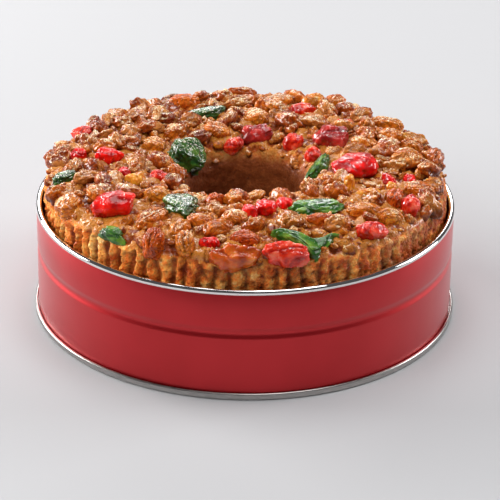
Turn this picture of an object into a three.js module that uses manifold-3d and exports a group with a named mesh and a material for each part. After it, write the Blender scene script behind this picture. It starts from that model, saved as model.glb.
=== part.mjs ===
// Christmas cake: a fluted ring fruit cake, topped with glazed pecans and glace fruit,
// standing in its own low round tin. Millimetres, +Z up, origin under the middle of the tin.

import * as THREE from 'three';
import * as BufferGeometryUtils from 'three/addons/utils/BufferGeometryUtils.js';
import Module from 'manifold-3d';

const wasm = await Module();
wasm.setup();

// Driving dimensions of the tin
const tinRadius = 95.25;
const sheetThickness = 0.5;
const curlRadius = 1.4;
const curlCentreZ = 50.9;
const curlSweep = 310;
const curlSteps = 6;
const channelLowZ = 28.5;
const channelHighZ = 34.9;
const channelDepth = 0.8;
const channelSlope = 2.8;
const seamRadius = 97;
const seamHeight = 3.3;
const seamFloor = 0.9;
const panelLift = 2.2;
const seamChamfer = 0.3;
const touchGap = 0.3;
const tinSegments = 64;

// Driving dimensions of the cake
const cakeFloorZ = panelLift + sheetThickness + touchGap;
const fluteCount = 88;
const fluteCrestRadius = 91.5;
const fluteDepth = 1.9;
const fluteTopZ = 61.5;
const fluteTopUneven = 1.4;
const holeRadius = 26.5;
const crumbUneven = 0.7;
const undersideRadius = 60;

// How the toppings lie on the crumb
const toppingGap = 0.9;
const sunkShare = 0.25;
const lumpTries = 172;
const lumpInnerRadius = 31;
const lumpOuterRadius = 88;
const lumpLength = [8, 12.5];
const lumpShrinks = [1, 0.8, 0.6];
const lumpTilt = 0.3;
const lumpClearance = 0.7;
const goldenAngle = Math.PI * (3 - Math.sqrt(5));

const group = new THREE.Group();

function finish(colour, roughness, metalness = 0) {
  return new THREE.MeshStandardMaterial({ color: colour, roughness, metalness });
}

const redLacquer = finish('#a3222b', 0.3, 0.3);
const bareSteel = finish('#b9b6b0', 0.3, 0.9);
const crumb = finish('#b8772f', 0.8);

// A repeatable draw between 0 and 1 from two whole numbers
function draw(i, k) {
  const s = Math.sin(i * 12.9898 + k * 78.233) * 43758.5453;
  return s - Math.floor(s);
}

function polar(radius, angle, z) {
  return new THREE.Vector3(radius * Math.cos(angle), radius * Math.sin(angle), z);
}

// A turned piece from its closed profile, given as [radius, height] pairs
function turned(profile) {
  const points = profile.map(([radius, height]) => new THREE.Vector2(radius, height));
  return new THREE.LatheGeometry(points, tinSegments).rotateX(Math.PI / 2);
}

// Part of a circle in the section, from its outermost point over the top
function arc(centreRadius, centreZ, radius, sweepDegrees, steps) {
  const points = [];
  for (let i = 0; i <= steps; i++) {
    const a = THREE.MathUtils.degToRad((sweepDegrees * i) / steps);
    points.push([centreRadius + radius * Math.cos(a), centreZ + radius * Math.sin(a)]);
  }
  return points;
}

// Tin wall: one sheet with a shallow channel rolled round it, its top edge rolled inwards into a curl
function tinWall() {
  const inner = tinRadius - sheetThickness;
  const channel = (radius) => [
    [radius, channelLowZ],
    [radius - channelDepth, channelLowZ + channelSlope],
    [radius - channelDepth, channelHighZ - channelSlope],
    [radius, channelHighZ],
  ];
  const footZ = seamFloor + touchGap;
  const curl = arc(tinRadius - curlRadius, curlCentreZ, curlRadius, curlSweep, curlSteps);
  return turned([
    [inner, footZ],
    [tinRadius, footZ],
    ...channel(tinRadius),
    ...curl,
    ...channel(inner).reverse(),
    [inner, footZ],
  ]);
}

// Tin base: a flat panel, raised inside a seam that hooks round the foot of the wall
function tinBase() {
  const grooveOuter = tinRadius + touchGap;
  const grooveInner = tinRadius - sheetThickness - touchGap;
  const sinkRadius = grooveInner - sheetThickness;
  return turned([
    [0, panelLift],
    [sinkRadius, panelLift],
    [sinkRadius, 0],
    [seamRadius - seamChamfer, 0],
    [seamRadius, seamChamfer],
    [seamRadius, seamHeight - seamChamfer],
    [seamRadius - seamChamfer, seamHeight],
    [grooveOuter, seamHeight],
    [grooveOuter, seamFloor],
    [grooveInner, seamFloor],
    [grooveInner, panelLift + sheetThickness],
    [0, panelLift + sheetThickness],
  ]);
}

// The cake's section, from the foot of the hole over the crown to the flute tops
const fullCount = fluteCount * 2;
const crown = [
  { radius: holeRadius, z: cakeFloorZ, count: fluteCount / 2 },
  { radius: 27.3, z: 55.5, count: fluteCount / 2 },
  { radius: 29.2, z: 60.5, count: fluteCount / 2 },
  { radius: 34, z: 64.2, count: fluteCount / 2 },
  { radius: 43, z: 66.2, count: fluteCount / 2 },
  { radius: 55, z: 67, count: fluteCount / 2 },
  { radius: 67, z: 67, count: fluteCount / 2 },
  { radius: 77, z: 66.6, count: fluteCount / 2 },
  { radius: 84, z: 65.6, count: fluteCount },
  { radius: 88.6, z: 63.4, count: fluteCount },
  { radius: fluteCrestRadius, z: fluteTopZ, count: fullCount },
  { radius: fluteCrestRadius, z: cakeFloorZ, count: fullCount },
];

function ringPoint(ring, level, i) {
  const angle = (2 * Math.PI * i) / ring.count;
  const onFloor = ring.z === cakeFloorZ;
  if (ring.count === fullCount) {
    const valley = i % 2 === 1;
    const drop = onFloor ? 0 : fluteTopUneven * draw(i, 3);
    return polar(ring.radius - (valley ? fluteDepth : 0), angle, ring.z - drop);
  }
  const inward = onFloor ? 0 : crumbUneven * draw(i, level);
  return polar(ring.radius, angle, ring.z - inward);
}

// Fills the band between two rings whose counts are equal or two to one
function bandFaces(outer, inner, flip) {
  const faces = [];
  const face = (a, b, c) => faces.push(...(flip ? [a, c, b] : [a, b, c]));
  const fine = outer.count >= inner.count ? outer : inner;
  const coarse = fine === outer ? inner : outer;
  const step = fine.count / coarse.count;
  for (let i = 0; i < coarse.count; i++) {
    const c0 = coarse.first + i;
    const c1 = coarse.first + ((i + 1) % coarse.count);
    const f0 = fine.first + i * step;
    const f1 = fine.first + ((i * step + 1) % fine.count);
    const fEnd = fine.first + (((i + 1) * step) % fine.count);
    const turn = fine === outer ? face : (a, b, c) => face(a, c, b);
    turn(f0, f1, c0);
    if (step === 2) turn(f1, fEnd, c0);
    turn(c0, fEnd, c1);
  }
  return faces;
}

// Bare cake: rings of points joined band by band and closed across the underside
function cakeCore() {
  const positions = [];
  const rings = crown.map((ring, level) => {
    const first = positions.length / 3;
    for (let i = 0; i < ring.count; i++) positions.push(...ringPoint(ring, level, i));
    return { first, count: ring.count };
  });
  const middle = { first: positions.length / 3, count: fluteCount };
  for (let i = 0; i < middle.count; i++) {
    positions.push(...polar(undersideRadius, (2 * Math.PI * i) / middle.count, cakeFloorZ));
  }
  const index = [];
  for (let k = 0; k + 1 < rings.length; k++) index.push(...bandFaces(rings[k + 1], rings[k], false));
  index.push(...bandFaces(rings[rings.length - 1], middle, true));
  index.push(...bandFaces(middle, rings[0], true));
  const geometry = new THREE.BufferGeometry();
  geometry.setAttribute('position', new THREE.Float32BufferAttribute(positions, 3));
  geometry.setIndex(index);
  return geometry;
}

// The point of the crown at a given radius, and the slope there
function crownAt(radius) {
  let k = 1;
  while (k + 3 < crown.length && crown[k + 1].radius < radius) k++;
  const [a, b] = [crown[k], crown[k + 1]];
  const share = (radius - a.radius) / (b.radius - a.radius);
  const along = new THREE.Vector2(b.radius - a.radius, b.z - a.z).normalize();
  return { z: a.z + share * (b.z - a.z), normal: new THREE.Vector2(-along.y, along.x) };
}

// Moves a point that is nearer to the crumb than the gap straight out of it
function liftClear(point) {
  const radius = Math.hypot(point.x, point.y);
  let nearest = null;
  for (let k = 0; k + 1 < crown.length; k++) {
    const a = new THREE.Vector2(crown[k].radius, crown[k].z);
    const along = new THREE.Vector2(crown[k + 1].radius, crown[k + 1].z).sub(a);
    const to = new THREE.Vector2(radius, point.z).sub(a);
    const share = THREE.MathUtils.clamp(to.dot(along) / along.lengthSq(), 0, 1);
    const foot = a.add(along.clone().multiplyScalar(share));
    const normal = new THREE.Vector2(-along.y, along.x).normalize();
    const off = new THREE.Vector2(radius, point.z).sub(foot);
    const height = Math.sign(off.dot(normal)) * off.length();
    if (!nearest || off.length() < nearest.reach) nearest = { reach: off.length(), height, foot, normal };
  }
  if (nearest.height >= toppingGap) return point;
  const clear = nearest.foot.clone().addScaledVector(nearest.normal, toppingGap);
  return polar(clear.x, Math.atan2(point.y, point.x), clear.y);
}

function bareSphere(around, down) {
  const sphere = new THREE.SphereGeometry(1, around, down).rotateX(Math.PI / 2);
  sphere.deleteAttribute('normal');
  sphere.deleteAttribute('uv');
  return BufferGeometryUtils.mergeVertices(sphere, 1e-4);
}

// Each kind of topping: its facets, how square it is, and how uneven, grooved or lobed
const kinds = {
  cherry: { around: 8, down: 6, square: 0.75, uneven: 0.1, groove: 0, lobes: 0 },
  green: { around: 10, down: 6, square: 0.85, uneven: 0.12, groove: 0, lobes: 0.12 },
  peel: { around: 8, down: 5, square: 0.8, uneven: 0.1, groove: 0, lobes: 0 },
  pecan: { around: 9, down: 6, square: 0.9, uneven: 0.1, groove: 0.35, lobes: 0 },
};

function shapeTopping(geometry, kind, size, bend, seed) {
  const square = (t) => Math.sign(t) * Math.abs(t) ** kind.square;
  const place = geometry.attributes.position;
  const v = new THREE.Vector3();
  for (let i = 0; i < place.count; i++) {
    v.fromBufferAttribute(place, i);
    const around = Math.atan2(v.y, v.x);
    const grow = 1 - kind.uneven * draw(i, seed) + kind.lobes * Math.cos(3 * around + seed);
    const dip = v.z > 0 ? kind.groove * Math.exp(-((v.y / 0.3) ** 2)) * (1 - v.x * v.x) : 0;
    v.set(square(v.x) * grow, square(v.y) * grow, square(v.z) * (1 - dip));
    v.multiply(size);
    v.y += bend * ((v.x / size.x) ** 2 - 0.5);
    place.setXYZ(i, v.x, v.y, v.z);
  }
}

// One topping, laid on the crumb at an angle and radius, its underside following the crumb
function topping(name, kindName, material, spec, seed) {
  const [degrees, radius, length, width, height, turn = 0, bend = 0] = spec;
  const kind = kinds[kindName];
  const whole = height / (1 - sunkShare);
  const size = new THREE.Vector3(length / 2, width / 2, whole / 2);
  const angle = THREE.MathUtils.degToRad(degrees);
  const seat = crownAt(radius);
  const up = new THREE.Vector3(
    seat.normal.x * Math.cos(angle), seat.normal.x * Math.sin(angle), seat.normal.y);
  const heading = THREE.MathUtils.degToRad(turn);
  const along = new THREE.Vector3(Math.cos(heading), Math.sin(heading), 0);
  along.addScaledVector(up, -along.dot(up)).normalize();
  const across = new THREE.Vector3().crossVectors(up, along);
  const geometry = bareSphere(kind.around, kind.down);
  shapeTopping(geometry, kind, size, bend, seed);
  const mesh = new THREE.Mesh(geometry, material);
  mesh.name = name;
  mesh.quaternion.setFromRotationMatrix(new THREE.Matrix4().makeBasis(along, across, up));
  mesh.position.copy(polar(radius, angle, seat.z)).addScaledVector(up, height - whole / 2);
  mesh.updateMatrixWorld();
  const place = geometry.attributes.position;
  const v = new THREE.Vector3();
  for (let i = 0; i < place.count; i++) {
    v.fromBufferAttribute(place, i);
    const clear = mesh.worldToLocal(liftClear(mesh.localToWorld(v)));
    place.setXYZ(i, clear.x, clear.y, clear.z);
  }
  return mesh;
}

// Where each fruit and nut lies: angle and radius on the ring, length, width, height,
// the turn of its length from the X axis, and how far it bends
const cherries = {
  left_back: [156, 84, 10, 9, 5, 0],
  left_outer: [175, 77, 9, 8, 5, 0],
  left_block: [176, 63, 14, 10, 6, 0],
  left_small: [192, 56, 6, 6, 4, 0],
  left_inner: [200, 42, 7, 8, 5, 60],
  left_large: [221, 75, 23, 15, 9, 15],
  lip_back: [101, 32, 10, 8, 7, 0],
  lip_dark: [83, 38, 16, 11, 6, 15],
  back_flat: [67, 69, 14, 9, 5, 0],
  back_small: [46, 67, 9, 6, 4, -20],
  back_dark: [36, 49, 18, 15, 9, -15],
  right_lip: [53, 37, 10, 9, 6, -30],
  right_lip_low: [26, 35, 8, 8, 6, 0],
  right_large: [354, 50, 22, 19, 9, 30],
  right_sliver: [345, 66, 11, 6, 5, 110],
  right_bit: [349, 75, 6, 6, 4, 0],
  front_left_bit: [272, 52, 7, 7, 5, 30],
  front_middle: [281, 48, 10, 9, 6, 60],
  front_right_bit: [292, 45, 8, 8, 5, 20],
  shoulder_pink: [329, 84, 8, 9, 8, 60],
  edge_front: [281, 88, 20, 9, 8, 0],
  edge_right: [309, 85, 15, 9, 7, 10],
  edge_left: [259.5, 81.5, 10, 6, 4, 0],
};

const greens = {
  left: [190, 82, 13, 9, 4, 30],
  lip: [149, 33, 18, 18, 9, 0],
  front_left: [239, 54, 21, 16, 6, 100],
  back_strip: [109, 61, 24, 8, 5, 25],
  right_lip: [5, 34, 19, 7, 5, 48],
  front_right: [304, 56, 24, 13, 5, 15],
  front_bent: [289, 78, 30, 8, 6, 0, 8],
  edge_left: [230, 88, 15, 7, 4, -40],
};

const peels = {
  left_curve: [200, 53, 11, 7, 5, 50, 3],
  right_upright: [333, 52, 8, 5, 8, 90],
  right_flat: [331, 62, 12, 5, 4, 0],
  right_small: [338.5, 69.5, 6, 6, 5, 0],
};

const pecans = {
  front_white: [236, 72, 20, 10, 6, 50],
  edge_amber: [244, 87, 15, 9, 9, 70],
  edge_knobbly: [253, 85, 13, 9, 9, 90],
  edge_slab: [267, 89, 22, 8, 9, 0],
  left_glazed: [208, 87, 16, 13, 6, 115],
  right_long: [331, 75, 14, 8, 7, 70],
  right_broad: [342, 81, 15, 10, 6, 0],
  right_dark: [317, 70, 18, 8, 5, 12],
  front_amber: [299, 67, 14, 6, 5, 12],
  right_edge: [320, 82, 12, 8, 6, 10],
  lip_front: [251, 41, 10, 8, 6, 60],
  left_inner: [222, 53, 13, 9, 6, 30],
  front_long: [270, 78, 14, 8, 6, 0],
  left_dark: [155, 47, 12, 11, 6, -20],
  back_left_half: [134, 48, 12, 9, 7, 20],
  lip_back_left: [110, 41, 14, 9, 7, -20],
  left_rim: [174, 86, 12, 12, 7, 80],
  back_left_long: [113, 77, 16, 9, 7, 15],
  back_rim: [92, 86, 18, 8, 7, 0],
  back_right_rim: [37, 83, 18, 9, 6, -10],
  right_back_half: [16, 79, 12, 9, 7, 15],
  back_middle: [85, 53, 13, 11, 7, 20],
};

const toppingSets = [
  { kind: 'cherry', material: finish('#c4222b', 0.2), list: cherries },
  { kind: 'green', material: finish('#2f5c2b', 0.25), list: greens },
  { kind: 'peel', material: finish('#d8922c', 0.3), list: peels },
  { kind: 'pecan', material: finish('#94552a', 0.35), list: pecans },
];

// True where a lump of the given reach stays clear of every fruit and nut laid by hand
function clearOfToppings(x, y, reach) {
  return toppingSets.every(({ list }) => Object.values(list).every((spec) => {
    const [degrees, radius, length, width, , turn = 0, bend = 0] = spec;
    const centre = polar(radius, THREE.MathUtils.degToRad(degrees), 0);
    const t = THREE.MathUtils.degToRad(turn);
    const [dx, dy] = [x - centre.x, y - centre.y];
    const u = dx * Math.cos(t) + dy * Math.sin(t);
    const v = dy * Math.cos(t) - dx * Math.sin(t);
    const room = reach + lumpClearance;
    return Math.hypot(u / (length / 2 + room), v / (width / 2 + bend / 2 + room)) > 1;
  }));
}

// Chopped pecan: a many-sided lump, long or short, turned any way
function choppedLump(x, y, length, seed) {
  const radius = Math.hypot(x, y);
  const between = (low, high, k) => THREE.MathUtils.lerp(low, high, draw(seed, k));
  const lump = new THREE.IcosahedronGeometry(1, 0);
  lump.scale(length / 2, (length / 2) * between(0.55, 0.8, 5), between(3.2, 4.8, 6));
  lump.rotateX(between(-lumpTilt, lumpTilt, 7)).rotateY(between(-lumpTilt, lumpTilt, 8));
  lump.rotateZ(2 * Math.PI * draw(seed, 9));
  lump.translate(x, y, crownAt(radius).z + between(0.7, 1.4, 10));
  return lump;
}

// Lumps in a sunflower spread over the crown, made smaller or left out beside toppings
function choppedLumps() {
  const lumps = [];
  for (let k = 0; k < lumpTries; k++) {
    const share = (k + 0.5) / lumpTries;
    const radius = Math.sqrt(lumpInnerRadius ** 2 + (lumpOuterRadius ** 2 - lumpInnerRadius ** 2) * share);
    const { x, y } = polar(radius, k * goldenAngle, 0);
    const full = THREE.MathUtils.lerp(lumpLength[0], lumpLength[1], draw(k, 4));
    const fitting = lumpShrinks.map((part) => full * part);
    const length = fitting.find((size) => clearOfToppings(x, y, size / 2));
    if (length) lumps.push(choppedLump(x, y, length, k));
  }
  return lumps;
}

function toSolid(geometry) {
  geometry.deleteAttribute('normal');
  geometry.deleteAttribute('uv');
  const merged = BufferGeometryUtils.mergeVertices(geometry, 1e-4);
  return new wasm.Manifold(new wasm.Mesh({
    numProp: 3,
    vertProperties: new Float32Array(merged.attributes.position.array),
    triVerts: new Uint32Array(merged.index.array),
  }));
}

function toGeometry(solid) {
  const mesh = solid.getMesh();
  const geometry = new THREE.BufferGeometry();
  geometry.setAttribute('position', new THREE.BufferAttribute(mesh.vertProperties, 3));
  geometry.setIndex(new THREE.BufferAttribute(mesh.triVerts, 1));
  return geometry;
}

function addPiece(name, geometry, material) {
  const mesh = new THREE.Mesh(geometry, material);
  mesh.name = name;
  group.add(mesh);
}

addPiece('tin_wall', tinWall(), redLacquer);
addPiece('tin_base', tinBase(), bareSteel);

const ringCake = choppedLumps().reduce((cake, lump) => cake.add(toSolid(lump)), toSolid(cakeCore()));
addPiece('ring_cake', toGeometry(ringCake), crumb);

toppingSets.forEach(({ kind, material, list }) => {
  Object.entries(list).forEach(([place, spec], i) => {
    group.add(topping(`${kind}_${place}`, kind, material, spec, i + 1));
  });
});

export default group;
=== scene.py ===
import math

import bpy
import numpy as np
from mathutils import Matrix, Vector, noise
from mathutils.bvhtree import BVHTree


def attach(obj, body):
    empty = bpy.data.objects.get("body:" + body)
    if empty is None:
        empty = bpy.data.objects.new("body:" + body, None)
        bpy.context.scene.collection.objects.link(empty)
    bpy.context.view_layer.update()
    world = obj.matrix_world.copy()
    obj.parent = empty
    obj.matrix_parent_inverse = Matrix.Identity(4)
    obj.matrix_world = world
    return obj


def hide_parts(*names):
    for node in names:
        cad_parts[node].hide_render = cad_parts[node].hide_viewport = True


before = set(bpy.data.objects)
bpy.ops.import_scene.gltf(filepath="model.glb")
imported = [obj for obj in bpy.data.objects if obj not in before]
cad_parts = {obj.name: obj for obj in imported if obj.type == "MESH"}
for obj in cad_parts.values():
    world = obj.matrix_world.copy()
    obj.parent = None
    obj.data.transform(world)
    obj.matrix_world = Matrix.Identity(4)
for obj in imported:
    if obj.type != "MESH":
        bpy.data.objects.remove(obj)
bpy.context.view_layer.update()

mm = 0.001
print("frame loaded:", len(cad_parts), "nodes")


# Small helpers used by every piece

def deselectAll():
    if bpy.context.mode != "OBJECT":
        bpy.ops.object.mode_set(mode="OBJECT")
    bpy.ops.object.select_all(action="DESELECT")


def pick(obj):
    deselectAll()
    obj.select_set(True)
    bpy.context.view_layer.objects.active = obj


def applyModifiers(obj):
    pick(obj)
    for modifier in list(obj.modifiers):
        bpy.ops.object.modifier_apply(modifier=modifier.name)


def mergeAndTurnOut(obj, distance=0.002 * mm):
    pick(obj)
    bpy.ops.object.mode_set(mode="EDIT")
    bpy.ops.mesh.select_all(action="SELECT")
    bpy.ops.mesh.remove_doubles(threshold=distance)
    bpy.ops.mesh.normals_make_consistent(inside=False)
    bpy.ops.object.mode_set(mode="OBJECT")


def pointsOf(obj):
    co = np.empty(len(obj.data.vertices) * 3, np.float32)
    obj.data.vertices.foreach_get("co", co)
    return co.reshape(-1, 3).astype(float)


def movePoints(obj, co):
    obj.data.vertices.foreach_set("co", co.astype(np.float32).ravel())
    obj.data.update()


def paintPoints(obj, name, values):
    layer = obj.data.attributes.new(name, "FLOAT", "POINT")
    layer.data.foreach_set("value", np.asarray(values, np.float32))


def finishPiece(obj, slot, nodes, *materials):
    obj.data.materials.clear()
    for material in materials:
        obj.data.materials.append(material)
    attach(obj, "root")
    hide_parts(*nodes)


def draw(i, k):      # a repeatable draw from 0 to 1
    s = math.sin(i * 12.9898 + k * 78.233) * 43758.5453
    return s - math.floor(s)


def between(low, high, i, k):
    return low + (high - low) * draw(i, k)


def softNoise(co, size, seed, octaves):
    shift = Vector((seed * 7.3, seed * 3.1, seed * 5.7))
    return np.array([noise.fractal(Vector(p) / size + shift, 1.0, 2.0, octaves) for p in co])


# Materials: each colour is sRGB hex, each pattern's size is in millimetres

def linear(hexText):
    out = []
    for k in (1, 3, 5):
        c = int(hexText[k:k + 2], 16) / 255
        out.append(c / 12.92 if c <= 0.04045 else ((c + 0.055) / 1.055) ** 2.4)
    return (*out, 1.0)


def newMaterial(name):
    mat = bpy.data.materials.new(name)
    mat.use_nodes = True
    mat.node_tree.nodes.clear()
    return mat


def addNode(mat, kind, inputs=None, stops=None, **settings):
    node = mat.node_tree.nodes.new("ShaderNode" + kind)
    for key, value in settings.items():
        setattr(node, key, value)
    if stops:
        ramp = node.color_ramp
        while len(ramp.elements) < len(stops):
            ramp.elements.new(1.0)
        for element, (place, colour) in zip(ramp.elements, stops):
            element.position = place
            element.color = linear(colour)
    for key, value in (inputs or {}).items():
        if isinstance(value, bpy.types.Node):      # a node stands for its first output in use
            value = next(socket for socket in value.outputs if socket.enabled)
        if isinstance(value, bpy.types.NodeSocket):
            mat.node_tree.links.new(value, node.inputs[key])
        else:
            node.inputs[key].default_value = linear(value) if isinstance(value, str) else value
    return node


def perMetre(size):      # a noise scale whose features are about this size in millimetres
    return 1 / (size * mm)


# Camera and light

camera = dict(
    elevation=25.99, distance=1.1146, aimHeight=24.76 * mm, lens=173.7, sensorWidth=36, roll=0.796,
    imageSize=500, aimPixel=(244.7, 250.7), clip=(0.05, 20),
)


def makeCamera():
    e = math.radians(camera["elevation"])
    away, aimHeight = camera["distance"], camera["aimHeight"]
    place = Vector((0, -away * math.cos(e), away * math.sin(e) + aimHeight))
    look = Vector((0, 0, aimHeight)) - place
    roll = Matrix.Rotation(math.radians(camera["roll"]), 3, "Z")
    bpy.ops.object.camera_add(location=place)
    cam = bpy.context.active_object
    cam.name = "viewCamera"
    cam.rotation_euler = (look.to_track_quat("-Z", "Y").to_matrix() @ roll).to_euler()
    cam.data.lens = camera["lens"]
    cam.data.sensor_width = camera["sensorWidth"]
    half = camera["imageSize"] / 2
    cam.data.shift_x = (half - camera["aimPixel"][0]) / camera["imageSize"]
    cam.data.shift_y = (camera["aimPixel"][1] - half) / camera["imageSize"]
    cam.data.clip_start, cam.data.clip_end = camera["clip"]
    bpy.context.scene.camera = cam


light = dict(      # the front fill isn't mirrored, so the glaze keeps its contrast
    side=dict(place=(-1.14, 0.46, 0.42), size=(0.95, 0.42), watts=20.0, colour="#fffefc", mirrored=True),
    back=dict(place=(-0.1, 1.15, 0.68), size=(0.9, 0.25), watts=5.6, colour="#ffffff", mirrored=True),
    overhead=dict(place=(0.1, 0.05, 1.2), size=(1.3, 0.6), watts=9.4, colour="#ffffff", mirrored=True),
    front=dict(place=(-0.84, -1.03, 1.0), size=(1.5, 0.7), watts=14.4, colour="#ffffff", mirrored=False),
    right=dict(place=(1.22, 0.33, 0.5), size=(0.6, 0.6), watts=11.5, colour="#ffffff", mirrored=True),
    backLeft=dict(place=(-1.1, 0.7, 0.4), size=(0.5, 0.4), watts=2.0, colour="#ffffff", mirrored=True),
)
studio = dict(fill=0.085, colour="#f4f4f8")


def makeLights():
    for name, spec in light.items():
        bpy.ops.object.light_add(type="AREA", location=spec["place"])
        lamp = bpy.context.active_object
        lamp.name = name + "Softbox"
        lamp.data.shape = "RECTANGLE"
        lamp.data.size, lamp.data.size_y = spec["size"]
        lamp.data.energy = spec["watts"]
        lamp.data.color = linear(spec["colour"])[:3]
        lamp.visible_glossy = spec["mirrored"]
        lamp.rotation_euler = (-Vector(spec["place"])).to_track_quat("-Z", "Y").to_euler()
    world = bpy.data.worlds.new("studio")
    bpy.context.scene.world = world
    world.use_nodes = True
    fill = world.node_tree.nodes["Background"]
    fill.inputs["Color"].default_value = linear(studio["colour"])
    fill.inputs["Strength"].default_value = studio["fill"]
    bpy.context.scene.view_settings.view_transform = "Standard"


floor = dict(width=6.0, front=-2.0, bend=1.6, radius=0.6, bendSteps=12, height=2.0, colour="#b6b6b8")


def makeFloor():
    deselectAll()
    bpy.ops.mesh.primitive_plane_add(size=1, location=(0, (floor["front"] + floor["bend"]) / 2, 0))
    sweep = bpy.context.active_object
    sweep.name = "paperSweep"
    sweep.scale = (floor["width"], floor["bend"] - floor["front"], 1)
    bpy.ops.object.transform_apply(location=True, rotation=True, scale=True)
    bpy.ops.object.mode_set(mode="EDIT")
    bpy.ops.mesh.select_all(action="DESELECT")
    bpy.ops.object.mode_set(mode="OBJECT")
    for edge in sweep.data.edges:
        edge.select = all(sweep.data.vertices[v].co.y > floor["bend"] - mm for v in edge.vertices)
    bpy.ops.object.mode_set(mode="EDIT")
    bpy.ops.mesh.select_mode(type="EDGE")
    before = (0.0, 0.0)
    for i in range(1, floor["bendSteps"] + 1):
        a = math.pi / 2 * i / floor["bendSteps"]
        now = (floor["radius"] * math.sin(a), floor["radius"] * (1 - math.cos(a)))
        bpy.ops.mesh.extrude_edges_move(
            TRANSFORM_OT_translate={"value": (0, now[0] - before[0], now[1] - before[1])})
        before = now
    bpy.ops.mesh.extrude_edges_move(TRANSFORM_OT_translate={"value": (0, 0, floor["height"])})
    bpy.ops.object.mode_set(mode="OBJECT")
    bpy.ops.object.shade_smooth()
    paper = newMaterial("matteStudioPaper")      # seamless paper: flat, pale, no shine
    shader = addNode(paper, "BsdfPrincipled", {
        "Base Color": floor["colour"], "Roughness": 0.9, "Specular IOR Level": 0.2})
    addNode(paper, "OutputMaterial", {"Surface": shader})
    sweep.data.materials.append(paper)


makeCamera()
makeLights()
makeFloor()
print("camera, lights and floor made")


# The tin

tin = dict(
    wallRadius=95.25, sheet=0.5, wallChamfer=(0.1, 0.2),
    curlRadius=1.4, curlHeight=50.9, curlProud=0.35, curlOverlap=0.35, curlSheet=0.45,
    curlArc=(-46, 292, 288),
    channelLow=28.5, channelHigh=34.9, channelDepth=0.76, channelDeepest=0.45, channelSteps=20,
    seamRadius=97, seamHeight=3.3, seamFloor=0.9, seamRoll=0.75, seamOverhang=0.5, seamWaist=(0.12, 1.1),
    seamFoot=[(1.3, 0), (0.75, 0.12), (0.3, 0.45), (0.08, 0.95), (0.1, 1.5)],      # inwards, up
    panelLift=2.2, panelBend=0.6, panelBead=[(14, 0), (12.6, 0.7), (9, 0.7), (7.6, 0)],      # inwards, down
    sinkFoot=[(0, 0.4), (0.4, 0.05), (0.8, 0)], sinkLip=0.4, gap=0.3, turns=288,
)


def arc(centre, radius, start, end, steps):
    out = []
    for i in range(steps + 1):
        a = math.radians(start + (end - start) * i / steps)
        out.append((centre[0] + radius * math.cos(a), centre[1] + radius * math.sin(a)))
    return out


def spinSection(name, section, turns, closed=True):
    mesh = bpy.data.meshes.new(name)
    edges = [(i, i + 1) for i in range(len(section) - 1)]
    if closed:
        edges.append((len(section) - 1, 0))
    mesh.from_pydata([(r * mm, 0, z * mm) for r, z in section], edges, [])
    obj = bpy.data.objects.new(name, mesh)
    bpy.context.scene.collection.objects.link(obj)
    pick(obj)
    bpy.ops.object.mode_set(mode="EDIT")
    bpy.ops.mesh.select_all(action="SELECT")
    bpy.ops.mesh.spin(steps=turns, angle=2 * math.pi, center=(0, 0, 0), axis=(0, 0, 1))
    bpy.ops.object.mode_set(mode="OBJECT")
    mergeAndTurnOut(obj)
    bpy.ops.object.shade_smooth_by_angle(angle=math.radians(40))
    return obj


def channelSection(radius):      # a shallow channel, steeper below its deepest line than above it
    low, high, deep = tin["channelLow"], tin["channelHigh"], tin["channelDeepest"]
    points = []
    for i in range(tin["channelSteps"] + 1):
        t = i / tin["channelSteps"]
        reach = t / deep if t < deep else (1 - t) / (1 - deep)
        sunk = reach * reach * (3 - 2 * reach)
        points.append((radius - tin["channelDepth"] * sunk, low + (high - low) * t))
    return points


def tinWallSection():      # the wall stands in the seam and ends inside the rolled rim
    outer, inner = tin["wallRadius"], tin["wallRadius"] - tin["sheet"]
    foot = tin["seamFloor"] + tin["gap"]
    top = tin["curlHeight"] - tin["curlOverlap"]
    inwards, down = tin["wallChamfer"]
    return [
        (inner, foot), (outer, foot), *channelSection(outer), (outer, top - down),
        (outer - inwards, top), (inner, top), *reversed(channelSection(inner)),
    ]


def tinRimSection():      # the sheet's edge rolled inwards, a little proud of the wall, into an open hook
    centre = (tin["wallRadius"] - tin["curlRadius"] + tin["curlProud"], tin["curlHeight"])
    start, outerEnd, innerEnd = tin["curlArc"]
    outside = arc(centre, tin["curlRadius"], start, outerEnd, 36)
    inside = arc(centre, tin["curlRadius"] - tin["curlSheet"], innerEnd, start, 28)
    return outside + inside


def tinBaseSection():      # a beaded panel, sunk into the tin, with its edge seamed round the wall's foot
    sheet, gap, lift, bend = tin["sheet"], tin["gap"], tin["panelLift"], tin["panelBend"]
    grooveOuter = tin["wallRadius"] + tin["seamOverhang"]
    grooveInner = tin["wallRadius"] - sheet - gap
    sink = grooveInner - sheet
    edge, top, roll = tin["seamRadius"], tin["seamHeight"], tin["seamRoll"]
    waistIn, waistDown = tin["seamWaist"]
    return [
        (0, lift), *[(sink - inwards, lift - down) for inwards, down in tin["panelBead"]],
        (sink - bend, lift), (sink, lift - bend),
        *[(sink + outwards, up) for outwards, up in tin["sinkFoot"]],
        *[(edge - inwards, up) for inwards, up in tin["seamFoot"]], (edge - waistIn, top - waistDown),
        *arc((edge - roll, top - roll), roll, -5, 150, 10),
        (grooveOuter, top - 0.5), (grooveOuter, tin["seamFloor"]), (grooveInner, tin["seamFloor"]),
        (grooveInner, lift), (grooveInner - tin["sinkLip"], lift + sheet), (0, lift + sheet),
    ]


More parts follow.
